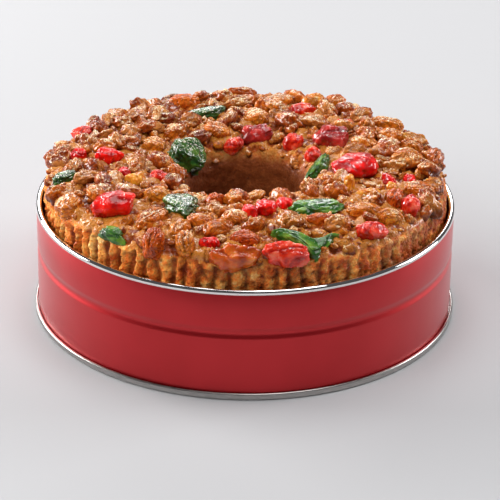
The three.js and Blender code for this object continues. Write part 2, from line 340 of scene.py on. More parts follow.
def lacquerMaterial():
    # tinplate printed with clear red lacquer, then varnished: deep red with a wet sheen at the edges
    mat = newMaterial("redTinLacquer")
    place = addNode(mat, "TexCoord")
    cloud = addNode(mat, "TexNoise", {
        "Vector": place.outputs["Object"], "Scale": perMetre(24), "Detail": 2.0})
    tone = addNode(mat, "ValToRGB", {"Fac": cloud}, stops=[(0.3, "#be1019"), (0.7, "#c61620")])
    grain = addNode(mat, "TexNoise", {
        "Vector": place.outputs["Object"], "Scale": perMetre(0.9), "Detail": 3.0})
    rough = addNode(mat, "MapRange", {"Value": grain, "To Min": 0.4, "To Max": 0.46})
    skin = addNode(mat, "Bump", {"Height": grain, "Strength": 0.06, "Distance": 0.05 * mm})
    shader = addNode(mat, "BsdfPrincipled", {
        "Base Color": tone, "Metallic": 0.92, "Roughness": rough,
        "Coat Weight": 1.0, "Coat Roughness": 0.3, "Coat IOR": 1.38, "Normal": skin})
    addNode(mat, "OutputMaterial", {"Surface": shader})
    return mat


def steelMaterial(name, colour, highlight, roughness, streak):
    # rolled tinplate: bright and slightly streaked round the tin, from the rollers
    mat = newMaterial(name)
    place = addNode(mat, "TexCoord")
    stretch = addNode(mat, "Mapping", {"Vector": place.outputs["Object"], "Scale": (1.0, 1.0, 14.0)})
    lines = addNode(mat, "TexNoise", {"Vector": stretch, "Scale": perMetre(4), "Detail": 4.0})
    rough = addNode(mat, "MapRange", {"Value": lines, "To Min": roughness, "To Max": roughness + streak})
    tone = addNode(mat, "ValToRGB", {"Fac": lines}, stops=[(0.25, colour), (0.75, highlight)])
    shader = addNode(mat, "BsdfPrincipled", {"Base Color": tone, "Metallic": 1.0, "Roughness": rough})
    addNode(mat, "OutputMaterial", {"Surface": shader})
    return mat


rimSteel = steelMaterial("rolledTinplate", "#eceae8", "#f4f2f0", roughness=0.03, streak=0.04)
seamSteel = steelMaterial("seamTinplate", "#a09d9a", "#c8c5c2", roughness=0.24, streak=0.14)
tinWall = spinSection("lacqueredWall", tinWallSection(), tin["turns"])
finishPiece(tinWall, "tin_lacquer", ["tin_wall"], lacquerMaterial())
tinRim = spinSection("rolledRim", tinRimSection(), tin["turns"])
finishPiece(tinRim, "bare_steel", ["tin_wall"], rimSteel)
tinBase = spinSection("seamedBase", tinBaseSection(), tin["turns"], closed=False)
finishPiece(tinBase, "bare_steel", ["tin_base"], seamSteel)
print("tin made")


# The cake's body

cake = dict(
    floor=3.0, underside=(76, 60, 43), columns=704, sideRadius=85, shownAbove=37,
    hiddenInHole=36.5, hiddenInTin=46.5,
    holeSide=[(26.5, 3), (27.0, 36)],
    crown=[(27.3, 55.5), (29.2, 60.5), (34, 64.2), (43, 66.2), (55, 67), (67, 67),
           (77, 66.6), (84, 65.6), (88.6, 63.4)],
    outerSide=[(91.2, 61.4), (91.5, 57), (91.5, 46), (91.5, 3)],
    crumbSize=2.6, crumbDepth=0.5, holeCrumbSize=4.0, poreSize=3.3, poreReach=0.42,
    poreDepth=1.2, lumpSize=6, sideLumps=0.35, bedLift=0.9, bedLumps=2.5,
    bareAngle=228, bareRadius=84, bareReach=17, bareFlattened=0.7,
)
flute = dict(      # worn: how many degrees round from the right the flutes are shallowest
    number=88, depth=1.9, top=62.0, wander=0.010, lean=0.022, worn=12, wornDepth=0.24, addedDepth=1.24,
    evenDepth=0.6, drawnDepth=0.7, ragged=0.45, topWave=1.2, drawnTop=3.0, wornTop=1.5, standsOut=0.5,
)
baked = dict(      # two browner stretches of the side: (angle, width, strength) in radians
    front=(-math.pi / 2 + 0.05, 0.42, 0.5), frontRight=(-0.5, 0.75, 0.68), lumps=0.9, most=0.78,
)


def crownHeight(radius):
    return float(np.interp(radius, *zip(*cake["crown"])))


def crownNormal(radius, angle):
    step = 0.6
    rise = (crownHeight(radius + step) - crownHeight(radius - step)) / (2 * step)
    return Vector((-rise * math.cos(angle), -rise * math.sin(angle), 1)).normalized()


def fineSection():
    keys = cake["holeSide"] + cake["crown"] + cake["outerSide"]
    out = []
    for (r0, z0), (r1, z1) in zip(keys, keys[1:]):
        hidden = max(z0, z1) <= (cake["hiddenInHole"] if max(r0, r1) < 40 else cake["hiddenInTin"])
        step = 6.0 if hidden else (0.8 if min(r0, r1) > 83 or max(r0, r1) < 30 else 1.5)
        count = max(1, round(math.hypot(r1 - r0, z1 - z0) / step))
        out += [(r0 + (r1 - r0) * i / count, z0 + (z1 - z0) * i / count) for i in range(count)]
    out.append(keys[-1])
    soft = np.array(out)
    for _ in range(3):
        mid = 0.25 * soft[:-2] + 0.5 * soft[1:-1] + 0.25 * soft[2:]
        bent = (soft[1:-1, 1] > cake["shownAbove"])[:, None]
        soft[1:-1] = np.where(bent, mid, soft[1:-1])
    return [tuple(p) for p in soft]


def gaussian(x, width):
    return np.exp(-(x / width) ** 2)


def smoothStep(low, high, x):
    t = np.clip((x - low) / (high - low), 0, 1)
    return t * t * (3 - 2 * t)


def perFlute(turn, k):      # one draw for each flute
    index = np.floor(turn / math.pi)
    table = np.array([draw(i, k) for i in range(flute["number"])])
    return table[index.astype(int) % flute["number"]]


def fluteForm(co, angle, unit, onSide):      # uneven flutes, worn on the right, that end below the crown
    z = co[:, 2]
    slow = softNoise(unit * 40, 9, 1, 2)
    lean = softNoise(np.stack([unit[:, 0] * 60, unit[:, 1] * 60, z * 0.6], 1), 7, 2, 2)
    ragged = softNoise(np.stack([unit[:, 0] * 91, unit[:, 1] * 91, z], 1), 2.4, 6, 2)
    turn = flute["number"] / 2 * (angle + flute["wander"] * slow + flute["lean"] * lean)
    facing = 0.5 - 0.5 * np.cos(angle - math.radians(flute["worn"]))      # 0 where they are most worn
    depth = flute["depth"] * (flute["wornDepth"] + flute["addedDepth"] * facing)
    depth = depth * (flute["evenDepth"] + flute["drawnDepth"] * perFlute(turn, 60))
    rib = np.abs(np.sin(turn)) ** 2.0
    rib = np.clip(rib + flute["ragged"] * ragged * (rib > 0.15), 0, 1.1)
    top = flute["top"] + flute["topWave"] * slow + flute["drawnTop"] * (perFlute(turn, 61) - 0.6)
    top = top - flute["wornTop"] * (1 - facing)
    fluted = np.where(onSide, 1 - smoothStep(-1.4, 1.2, z - top), 0)
    return rib, fluted, depth, flute["standsOut"] * (perFlute(turn, 62) - 0.5)


def crumbForm(co, inHole):      # worked out only where the cake shows above the tin
    shown = np.nonzero(co[:, 2] > cake["shownAbove"])[0]
    crumb, pore, lump = np.zeros((3, len(co)))
    crumb[shown] = softNoise(co[shown], cake["crumbSize"], 3, 4) * (1 - inHole[shown])
    crumb[shown] += softNoise(co[shown], cake["holeCrumbSize"], 5, 1) * inHole[shown]
    lump[shown] = softNoise(co[shown], cake["lumpSize"], 4, 3)
    for i in shown:
        near = noise.voronoi(Vector(co[i]) / cake["poreSize"])[0][0]
        pore[i] = max(0.0, 1 - near / cake["poreReach"])
    return crumb, pore * (1 - 0.75 * inHole), lump


def makeCakeBody():
    under = [(r, cake["floor"]) for r in cake["underside"]]
    obj = spinSection("ringCakeBody", fineSection() + under, cake["columns"])
    co = pointsOf(obj) / mm
    normal = np.empty(len(co) * 3, np.float32)
    obj.data.vertices.foreach_get("normal", normal)
    normal = normal.reshape(-1, 3)
    angle = np.arctan2(co[:, 1], co[:, 0])
    radius, z = np.hypot(co[:, 0], co[:, 1]), co[:, 2]
    unit = np.stack([np.cos(angle), np.sin(angle), np.zeros(len(co))], 1)
    onSide = radius > cake["sideRadius"]
    onTop = smoothStep(60, 63.5, z) * smoothStep(91, 88, radius)
    bareAt = np.radians(cake["bareAngle"])
    bareCentre = cake["bareRadius"] * np.array([math.cos(bareAt), math.sin(bareAt)])
    bare = smoothStep(cake["bareReach"], 6, np.hypot(co[:, 0] - bareCentre[0], co[:, 1] - bareCentre[1]))
    rib, fluted, depth, proud = fluteForm(co, angle, unit, onSide)
    crumb, pore, lump = crumbForm(co, smoothStep(34, 29, radius))
    out = cake["crumbDepth"] * crumb * (1 + onTop) - cake["poreDepth"] * pore * (1 - onTop)
    out = out + onTop * (cake["bedLift"] + cake["bedLumps"] * lump * (1 - cake["bareFlattened"] * bare))
    out = out + (1 - onTop) * cake["sideLumps"] * lump
    co = co + normal * (out * (z > cake["shownAbove"]))[:, None]
    co = co - unit * (depth * (1 - rib) * fluted)[:, None]
    co = co + unit * (proud * rib * fluted)[:, None]
    movePoints(obj, co * mm)
    browned = baked["lumps"] * lump
    for place, width, strength in (baked["front"], baked["frontRight"]):
        browned = browned + strength * gaussian(angle - place, width)
    # rib also carries the painted shade of the flute valleys, weaker where the flutes are shallow
    painted = dict(rib=1 - (1 - rib * fluted) * np.clip(depth / 1.5, 0.3, 1), fluted=fluted, pore=pore,
                   lump=0.5 + lump, bed=onTop, bare=bare, drip=np.clip(browned, 0, baked["most"]) * onSide)
    for name, values in painted.items():
        paintPoints(obj, name, values)
    pick(obj)
    bpy.ops.object.shade_smooth()
    return obj


def glazeFaces(obj):      # the wet finish goes where the glaze was poured
    bed = np.empty(len(obj.data.vertices), np.float32)
    obj.data.attributes["bed"].data.foreach_get("value", bed)
    corners = np.empty(len(obj.data.loops), np.int32)
    obj.data.loops.foreach_get("vertex_index", corners)
    starts = np.empty(len(obj.data.polygons), np.int32)
    obj.data.polygons.foreach_get("loop_start", starts)
    wet = (bed[corners[starts]] > 0.35).astype(np.int32)
    obj.data.polygons.foreach_set("material_index", wet)
    obj.data.update()


def crumbMaterial(name, glazed):
    # baked fruit cake: open golden crumb on the side, browner in the hole, amber sugar glaze over the top
    mat = newMaterial(name)
    painted = {layer: addNode(mat, "Attribute", attribute_name=layer).outputs["Fac"]
               for layer in ("rib", "fluted", "pore", "lump", "bed", "bare", "drip")}
    place = addNode(mat, "TexCoord").outputs["Object"]
    spot = addNode(mat, "SeparateXYZ", {"Vector": place})
    flat = addNode(mat, "CombineXYZ", {"X": spot.outputs["X"], "Y": spot.outputs["Y"]})
    radius = addNode(mat, "VectorMath", {"Vector": flat}, operation="LENGTH")
    crumbs = addNode(mat, "TexNoise", {
        "Vector": place, "Scale": perMetre(3.0), "Detail": 6.0, "Roughness": 0.7})
    blotch = addNode(mat, "TexNoise", {"Vector": place, "Scale": perMetre(14), "Detail": 3.0})
    specks = addNode(mat, "TexVoronoi", {"Vector": place, "Scale": perMetre(1.3)})
    sideTone = addNode(mat, "Math", {0: blotch, 1: 0.55, 2: -0.275}, operation="MULTIPLY_ADD")
    sideTone = addNode(mat, "Math", {0: sideTone, 1: crumbs}, operation="ADD")
    side = addNode(mat, "ValToRGB", {"Fac": sideTone}, stops=[
        (0.27, "#bc4f1d"), (0.42, "#ff8633"), (0.56, "#ffb054"), (0.78, "#ffe494")])
    # painted shade: flute valleys darkened towards #75290f
    valley = addNode(mat, "MapRange", {
        "Value": painted["rib"], "From Min": 0.1, "From Max": 0.62, "To Min": 0.8, "To Max": 0.0})
    inValley = addNode(mat, "Math", {0: valley, 1: painted["fluted"]}, operation="MULTIPLY")
    shaded = addNode(mat, "Mix", {"Factor": inValley, "A": side, "B": "#75290f"}, data_type="RGBA")
    dripped = addNode(mat, "Mix", {
        "Factor": painted["drip"], "A": shaded, "B": "#944a2f"}, data_type="RGBA", blend_type="MULTIPLY")
    hole = addNode(mat, "ValToRGB", {"Fac": crumbs}, stops=[
        (0.3, "#6c3317"), (0.5, "#7e3f1e"), (0.72, "#92502a")])
    inHole = addNode(mat, "MapRange", {
        "Value": radius, "From Min": 28 * mm, "From Max": 33 * mm, "To Min": 1.0, "To Max": 0.0})
    body = addNode(mat, "Mix", {"Factor": inHole, "A": dripped, "B": hole}, data_type="RGBA")
    # painted shade: the glaze is darker in the hollows between its lumps and lighter on their tops
    glazeTone = addNode(mat, "Math", {0: crumbs, 1: painted["lump"]}, operation="ADD")
    glazeTone = addNode(mat, "Math", {0: painted["bare"], 1: 0.22, 2: glazeTone}, operation="MULTIPLY_ADD")
    glaze = addNode(mat, "ValToRGB", {"Fac": glazeTone}, stops=[
        (0.7, "#8a380b"), (0.95, "#9e4a0e"), (1.18, "#b25b15"), (1.4, "#c57b2d")])
    topped = addNode(mat, "Mix", {"Factor": painted["bed"], "A": body, "B": glaze}, data_type="RGBA")
    # painted shade: pores darkened towards #4c1f08, less on the glazed top
    holes = addNode(mat, "MapRange", {"Value": painted["bed"], "To Min": 0.9, "To Max": 0.2})
    deepPore = addNode(mat, "Math", {0: painted["pore"], 1: holes}, operation="MULTIPLY")
    dark = addNode(mat, "Mix", {"Factor": deepPore, "A": topped, "B": "#4c1f08"}, data_type="RGBA")
    gloss = addNode(mat, "MapRange", {"Value": painted["bed"], "To Min": 0.55, "To Max": 0.4})
    grain = addNode(mat, "Math", {0: crumbs, 1: specks}, operation="ADD")
    rubbed = addNode(mat, "MapRange", {      # the tube of the cake mould leaves the hole smooth
        "Value": radius, "From Min": 29 * mm, "From Max": 32 * mm, "To Min": 0.45})
    relief = addNode(mat, "Math", {0: grain, 1: rubbed}, operation="MULTIPLY")
    bump = addNode(mat, "Bump", {"Height": relief, "Strength": 0.9, "Distance": 0.7 * mm})
    ripple = addNode(mat, "TexNoise", {
        "Vector": place, "Scale": perMetre(2.8), "Detail": 1.5, "Roughness": 0.5})
    film = addNode(mat, "Bump", {"Height": ripple, "Distance": 0.8 * mm})
    shader = addNode(mat, "BsdfPrincipled", {
        "Base Color": dark, "Roughness": gloss, "Specular IOR Level": 0.2,
        "Subsurface Weight": 0.15, "Subsurface Radius": (1.0, 0.45, 0.2), "Subsurface Scale": 1.5 * mm,
        "Coat Weight": glazed, "Coat Roughness": 0.05, "Coat IOR": 1.37,
        "Normal": bump, "Coat Normal": film})
    addNode(mat, "OutputMaterial", {"Surface": shader})
    return mat


ringCake = makeCakeBody()
finishPiece(ringCake, "crumb", ["ring_cake"], crumbMaterial("bakedCrumb", glazed=0.15),
            crumbMaterial("glazedCrumb", glazed=1.0))
glazeFaces(ringCake)
print("cake body made")


# Fruit and nuts that have their own node: a smooth copy of the node's form, then its own skin

def seatOf(node):
    co = pointsOf(node)
    centre = co.mean(0)
    radius, angle = math.hypot(centre[0], centre[1]) / mm, math.atan2(centre[1], centre[0])
    up = crownNormal(radius, angle)
    away = co - centre
    flat = away - np.outer(away @ np.array(up), np.array(up))
    along = Vector(np.linalg.svd(flat, full_matrices=False)[2][0])
    along = (along - up * along.dot(up)).normalized()
    across = up.cross(along)
    axes = np.array([along, across, up])
    reach = away @ axes.T
    low, high = reach.min(0), reach.max(0)
    return dict(centre=centre + ((low + high) / 2) @ axes, axes=axes, half=(high - low) / 2)


roundingLevels = 3


def copyOfNode(nodeName, name):
    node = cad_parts[nodeName]
    obj = bpy.data.objects.new(name, node.data.copy())
    bpy.context.scene.collection.objects.link(obj)
    mergeAndTurnOut(obj, 0.01 * mm)
    seat = seatOf(node)
    smooth = obj.modifiers.new("round", "SUBSURF")
    smooth.levels = smooth.render_levels = roundingLevels
    applyModifiers(obj)
    co = (pointsOf(obj) - seat["centre"]) @ seat["axes"].T
    reach = np.abs(co).max(0)
    unit = co * (1.0 / reach)
    bpy.ops.object.shade_smooth()
    return obj, seat, unit


def placeUnit(obj, seat, unit, sink):
    local = unit * seat["half"]
    local[:, 2] -= sink * mm * smoothStep(0.6, -0.8, unit[:, 2])
    movePoints(obj, local @ seat["axes"] + seat["centre"])


def ridged(co, size, seed, octaves=2):
    return 1 - np.clip(np.abs(softNoise(co, size, seed, octaves)) * 2.6, 0, 1)


halfForm = dict(      # a pecan half's grooves, wrinkles and knobs, as shares of its size
    swell=1.05, groove=0.32, sideGroove=0.15, wrinkle=0.07, knobs=0.15, grain=0.02, waist=0.16,
    leastFilled=0.25,
)


def pecanSkin(unit, seed):      # a bent middle groove and two side grooves over fine wrinkles
    x, y, z = unit.T
    wave = 0.13 * np.sin(3.6 * x + seed) + 0.06 * np.sin(8 * x + 2 * seed)
    across = y + wave * (1 - np.abs(y))
    topSide = smoothStep(-0.4, 0.4, z)
    taper = np.clip(1 - x * x, 0, 1)
    groove = gaussian(across, 0.15) * taper ** 0.4
    second = gaussian(np.abs(across) - 0.52, 0.1) * taper
    wrinkle = ridged(unit * np.array([0.75, 1.2, 1.0]), 0.36, seed + 3)
    knob = softNoise(unit, 0.5, seed, 3)
    fine = softNoise(unit, 0.17, seed + 7, 2)
    filled = between(halfForm["leastFilled"], 1, seed, 22)      # glaze fills some grooves more than others
    cut = filled * topSide * (halfForm["groove"] * groove + halfForm["sideGroove"] * second)
    cut = cut + halfForm["wrinkle"] * wrinkle
    out = unit * (halfForm["swell"] - cut + halfForm["knobs"] * knob + halfForm["grain"] * fine)[:, None]
    out[:, 1] *= 1 - halfForm["waist"] * x * x
    # the mask returned is painted shade: it darkens the grooves and wrinkles
    return out, np.clip(filled * topSide * (1.3 * groove + 0.8 * second) + 0.45 * wrinkle - 0.15, 0, 1)


def cutFlat(unit, seed, cuts, depth, keep):      # knife cuts and breaks: soft flats on a round form
    flat = np.zeros(len(unit))
    for cut in range(cuts):
        face = Vector((draw(seed, 31 + cut) - 0.5, draw(seed, 41 + cut) - 0.5,
                       0.7 * draw(seed, 51 + cut) - 0.15))
        face = np.array(face.normalized())
        past = np.clip(unit @ face - between(depth, depth + 0.2, seed, 61 + cut), 0, None)
        unit = unit - np.outer(past * keep, face)
        flat = np.maximum(flat, smoothStep(0.02, 0.12, past))
    return unit, flat


fruitForms = dict(      # rounding takes the solid's corners off, and dent is the width of the hollows
    whole=dict(rounding=0.92, dent=0.8, deep=0.17, crease=0.09, cuts=1),
    piece=dict(rounding=0.5, dent=0.9, deep=0.26, crease=0.09, cuts=4),
    pooled=dict(rounding=0, dent=0.8, deep=0.3, crease=0.1, cuts=2),      # under a thick pool of glaze
)


def fruitSkin(unit, half, seed, form):
    away = np.maximum(np.linalg.norm(unit, axis=1), 0.2)[:, None]
    unit = unit * away ** -form["rounding"]
    unit = cutFlat(unit, seed, form["cuts"], 0.62, 0.7)[0]
    even = unit * half / half.mean()      # the dents are as wide as they are long
    uneven = softNoise(even, form["dent"], seed, 2)
    fine = softNoise(even, form["dent"] * 0.33, seed + 9, 2)
    tilt = Vector((draw(seed, 1) - 0.5, draw(seed, 2) - 0.5, 0.3)).normalized()
    across = unit @ np.array(tilt) + 0.25 * uneven
    fold = gaussian(across, 0.14) * smoothStep(-0.2, 0.6, unit[:, 2])
    wrinkle = ridged(even, 0.9, seed + 11, 1)
    swell = 1.06 + form["deep"] * uneven + 0.3 * form["deep"] * fine
    swell = swell - form["crease"] * (fold + 0.6 * wrinkle)
    # the mask returned is painted shade: it darkens the folds and wrinkles
    return unit * swell[:, None], np.clip(fold + 0.7 * wrinkle, 0, 1)


leafForm = dict(uneven=0.24, fold=0.13, grain=0.1, waist=0.28, flatAbove=0.6, flattened=0.5)
overhang = dict(outwards=6.5, down=2.4, place=0.3, width=0.42)      # in mm, then shares of half its length


def leafSkin(unit, seed):      # a cut piece of green fruit: leathery, with a flat top and a few soft folds
    uneven = softNoise(unit, 1.0, seed, 2)
    fold = ridged(unit * np.array([0.6, 1.0, 1.0]), 0.9, seed + 3)
    small = softNoise(unit, 0.22, seed + 5, 2)
    swell = 1.06 + leafForm["uneven"] * uneven - leafForm["fold"] * fold + leafForm["grain"] * small
    out = unit * swell[:, None]
    out[:, 1] *= 1 - leafForm["waist"] * unit[:, 0] ** 2
    past = np.clip(out[:, 2] - leafForm["flatAbove"], 0, None)
    out[:, 2] -= leafForm["flattened"] * past
    # the mask returned is painted shade: it darkens the folds
    return out, np.clip(0.8 * fold - 0.5 * small - 0.2, 0, 1)


def hangOver(unit, seat):      # the outer edge of a leaf comes to a point that hangs over the shoulder
    along, across, up = seat["axes"]
    outwards = np.sign(across @ seat["centre"])
    toRight = np.sign(along[0])
    edge = smoothStep(-1, 0.9, outwards * unit[:, 1])
    hang = edge * gaussian(toRight * unit[:, 0] - overhang["place"], overhang["width"])
    unit[:, 1] += outwards * hang * overhang["outwards"] * mm / seat["half"][1]
    unit[:, 2] -= hang * overhang["down"] * mm / seat["half"][2]
    return unit


paintedGlints = dict(      # painted highlight: white glint flecks on faces turned up to the back light; steep: how far a face must turn up before they show
    pecan=dict(colour="#ffe4b6", soft=0.08, steep=0.5),
    fruit=dict(colour="#fffae8", soft=0.04, steep=0.55),
)


def paintGlintFlecks(mat, coordinates, under, noise, start, look):      # painted highlight: white glint flecks on upward faces, where the noise is above start
    facing = addNode(mat, "SeparateXYZ", {"Vector": coordinates.outputs["Normal"]})
    upward = addNode(mat, "MapRange", {
        "Value": facing.outputs["Z"], "From Min": look["steep"], "From Max": 0.95})
    glintMask = addNode(mat, "MapRange", {"Value": noise, "From Min": start, "From Max": start + look["soft"]})
    share = addNode(mat, "Math", {0: glintMask, 1: upward}, operation="MULTIPLY")
    return addNode(mat, "Mix", {"Factor": share, "A": under, "B": look["colour"]}, data_type="RGBA")


glazedPecans = dict(
    glazedPecan=dict(glintsFrom=0.86, stops=[
        (0.05, "#752603"), (0.3, "#a74607"), (0.55, "#cb6610"), (0.8, "#dc801f"), (1.0, "#e29c33")]),
    amberGlazedPecan=dict(glintsFrom=0.97, stops=[
        (0.05, "#882804"), (0.3, "#bc4506"), (0.55, "#d86212"), (0.8, "#e68226"), (1.0, "#eea33f")]),
)


def glazedPecanMaterial(name, spec):
    # pecan under a poured sugar glaze: brown wrinkled skin with painted shade in its creases, a clear wet
    # coat, painted white glint flecks
    mat = newMaterial(name)
    painted = {layer: addNode(mat, "Attribute", attribute_name=layer).outputs["Fac"]
               for layer in ("tone", "groove", "broken")}
    coordinates = addNode(mat, "TexCoord")
    place = coordinates.outputs["Object"]
    patches = addNode(mat, "TexNoise", {
        "Vector": place, "Scale": perMetre(4.5), "Detail": 5.0, "Roughness": 0.65})
    patchy = addNode(mat, "Math", {0: patches, 1: 1.4, 2: -0.6}, operation="MULTIPLY_ADD")
    shade = addNode(mat, "Math", {0: painted["tone"], 1: 0.7, 2: patchy}, operation="MULTIPLY_ADD")
    skin = addNode(mat, "ValToRGB", {"Fac": shade}, stops=spec["stops"])
    inside = addNode(mat, "Mix", {"Factor": painted["broken"], "A": skin, "B": "#cc8238"}, data_type="RGBA")
    # painted shade: grooves, creases and each piece's foot darkened towards #5e2007
    inGroove = addNode(mat, "Math", {0: painted["groove"], 1: 0.9}, operation="MULTIPLY")
    wrinkles = addNode(mat, "TexNoise", {
        "Vector": place, "Scale": perMetre(5), "Detail": 2.0, "Roughness": 0.5, "Distortion": 0.8})
    offMiddle = addNode(mat, "Math", {0: wrinkles, 1: 0.5}, operation="SUBTRACT")
    fromCrease = addNode(mat, "Math", {0: offMiddle}, operation="ABSOLUTE")
    crease = addNode(mat, "MapRange", {
        "Value": fromCrease, "From Max": 0.07, "To Min": 0.65, "To Max": 0.0})
    inShade = addNode(mat, "Math", {0: inGroove, 1: crease}, operation="MAXIMUM")
    deep = addNode(mat, "Mix", {"Factor": inShade, "A": inside, "B": "#5e2007"}, data_type="RGBA")
    where = addNode(mat, "TexNoise", {"Vector": place, "Scale": perMetre(9), "Detail": 1.0})
    fine = addNode(mat, "TexNoise", {
        "Vector": place, "Scale": perMetre(0.85), "Detail": 1.5, "Roughness": 0.6, "Distortion": 1.2})
    spread = addNode(mat, "Math", {0: where, 1: 0.6, 2: fine}, operation="MULTIPLY_ADD")
    # painted highlight: white glint flecks on the upward faces
    glinted = paintGlintFlecks(mat, coordinates, deep, spread, spec["glintsFrom"], paintedGlints["pecan"])
    relief = addNode(mat, "MapRange", {"Value": fromCrease, "From Max": 0.14})
    ripple = addNode(mat, "TexNoise", {
        "Vector": place, "Scale": perMetre(2.9), "Detail": 1.0, "Roughness": 0.4})
    bump = addNode(mat, "Bump", {"Height": relief, "Distance": 0.5 * mm})
    coatBump = addNode(mat, "Bump", {"Height": ripple, "Distance": 0.5 * mm})
    shader = addNode(mat, "BsdfPrincipled", {
        "Base Color": glinted, "Roughness": 0.55, "Specular IOR Level": 0.1,
        "Subsurface Weight": 0.2, "Subsurface Radius": (1.0, 0.4, 0.15), "Subsurface Scale": 1.8 * mm,
        "Coat Weight": 1.0, "Coat Roughness": 0.03, "Coat IOR": 1.4,
        "Normal": bump, "Coat Normal": coatBump})
    addNode(mat, "OutputMaterial", {"Surface": shader})
    return mat


candiedFruit = dict(      # in mm: how far light goes in, and the width and height of the waves
    glaceCherry=dict(
        stops=[(0.2, "#9c0604"), (0.45, "#dc1009"), (0.75, "#f4301c")],
        depth=5.0, glow=0.8, ripple=(5.0, 0.4), film=(3.0, 0.5), glintsFrom=0.7),
    paleGlaceCherry=dict(
        stops=[(0.25, "#a81408"), (0.45, "#d83418"), (0.72, "#ec7858")],
        depth=5.0, glow=0.7, ripple=(3.4, 0.6), film=(3.0, 0.5), glintsFrom=0.66),
    darkGlaceCherry=dict(
        stops=[(0.2, "#7c1210"), (0.5, "#b42c26"), (0.8, "#de6454")],
        depth=3.0, glow=0.5, ripple=(3.4, 0.7), film=(3.0, 0.4), glintsFrom=0.67),
    greenGlaceFruit=dict(
        stops=[(0.2, "#0d2708"), (0.42, "#234c13"), (0.7, "#587725")],
        depth=1.2, glow=0.15, ripple=(2.6, 0.5), film=(2.2, 0.4), glintsFrom=0.57),
    smoothGreenFruit=dict(
        stops=[(0.2, "#14350b"), (0.43, "#2c5d18"), (0.66, "#7a9f38")],
        depth=1.6, glow=0.25, ripple=(3.0, 0.4), film=(3.0, 0.4), glintsFrom=0.7),
    candiedPeel=dict(
        stops=[(0.2, "#bb6412"), (0.5, "#dc8e26"), (0.8, "#ecb85a")],
        depth=3.0, glow=0.4, ripple=(2.2, 0.8), film=(2.4, 0.4), glintsFrom=0.7),
    pooledGlaze=dict(
        stops=[(0.2, "#9a3306"), (0.5, "#cc5a14"), (0.8, "#e08a40")],
        depth=3.0, glow=0.4, ripple=(4.0, 0.6), film=(3.0, 0.5), glintsFrom=0.65),
)


def candiedMaterial(name, spec):
    # fruit boiled in syrup: clear coloured flesh that light enters, under a wet sugar film
    mat = newMaterial(name)
    rippleWidth, rippleHeight = spec["ripple"]
    filmWidth, filmHeight = spec["film"]
    coordinates = addNode(mat, "TexCoord")
    place = coordinates.outputs["Object"]
    fold = addNode(mat, "Attribute", attribute_name="groove")
    flesh = addNode(mat, "TexNoise", {"Vector": place, "Scale": perMetre(6), "Detail": 3.0})
    # painted shade: the fruit is darker in its folds and wrinkles
    shade = addNode(mat, "Math", {0: fold.outputs["Fac"], 1: -0.35, 2: flesh}, operation="MULTIPLY_ADD")
    colour = addNode(mat, "ValToRGB", {"Fac": shade}, stops=spec["stops"])
    ripple = addNode(mat, "TexNoise", {"Vector": place, "Scale": perMetre(rippleWidth), "Detail": 1.0})
    bump = addNode(mat, "Bump", {"Height": ripple, "Distance": rippleHeight * mm})
    fine = addNode(mat, "TexNoise", {
        "Vector": place, "Scale": perMetre(1.2), "Detail": 1.5, "Roughness": 0.6, "Distortion": 1.2})
    # painted highlight: white glint flecks on the upward faces
    glinted = paintGlintFlecks(mat, coordinates, colour, fine, spec["glintsFrom"], paintedGlints["fruit"])
    film = addNode(mat, "TexNoise", {
        "Vector": place, "Scale": perMetre(filmWidth), "Detail": 1.0, "Roughness": 0.5, "Distortion": 0.6})
    filmBump = addNode(mat, "Bump", {"Height": film, "Distance": filmHeight * mm})
    shader = addNode(mat, "BsdfPrincipled", {
        "Base Color": glinted, "Roughness": 0.4, "Specular IOR Level": 0.1,
        "Subsurface Weight": spec["glow"], "Subsurface Radius": (1.0, 0.15, 0.1),
        "Subsurface Scale": spec["depth"] * mm,
        "Coat Weight": 1.0, "Coat Roughness": 0.03, "Coat IOR": 1.46,
        "Normal": bump, "Coat Normal": filmBump})
    addNode(mat, "OutputMaterial", {"Surface": shader})
    return mat


finishes = {name: glazedPecanMaterial(name, spec) for name, spec in glazedPecans.items()}
for name, spec in candiedFruit.items():
    finishes[name] = candiedMaterial(name, spec)
print("materials of the toppings made")

toppings = dict(
    cherry=dict(slot="cherry", finish="glaceCherry", sink=1.6),
    green=dict(slot="green_fruit", finish="greenGlaceFruit", sink=1.6),
    peel=dict(slot="peel", finish="candiedPeel", sink=1.6),
    pecan=dict(slot="pecan", finish="glazedPecan", sink=1.8),
)
pooledSlab, bentLeaf = "pecan_edge_slab", "green_front_bent"
ownFinish = dict(      # the pieces that look different from others of their kind
    paleGlaceCherry=["cherry_edge_front", "cherry_edge_right", "cherry_shoulder_pink", "cherry_back_flat",
                     "cherry_back_small", "cherry_right_lip", "cherry_right_lip_low", "cherry_left_back",
                     "cherry_left_inner", "cherry_lip_back"],
    darkGlaceCherry=["cherry_back_dark", "cherry_lip_dark"],
    smoothGreenFruit=["green_front_right", bentLeaf, "green_right_lip", "green_edge_left"],
    amberGlazedPecan=["pecan_edge_amber", "pecan_front_amber", "pecan_front_long", "pecan_right_long",
                      "pecan_lip_front", "pecan_back_left_long"],
    pooledGlaze=[pooledSlab],
)
finishOf = {nodeName: finish for finish, nodeNames in ownFinish.items() for nodeName in nodeNames}


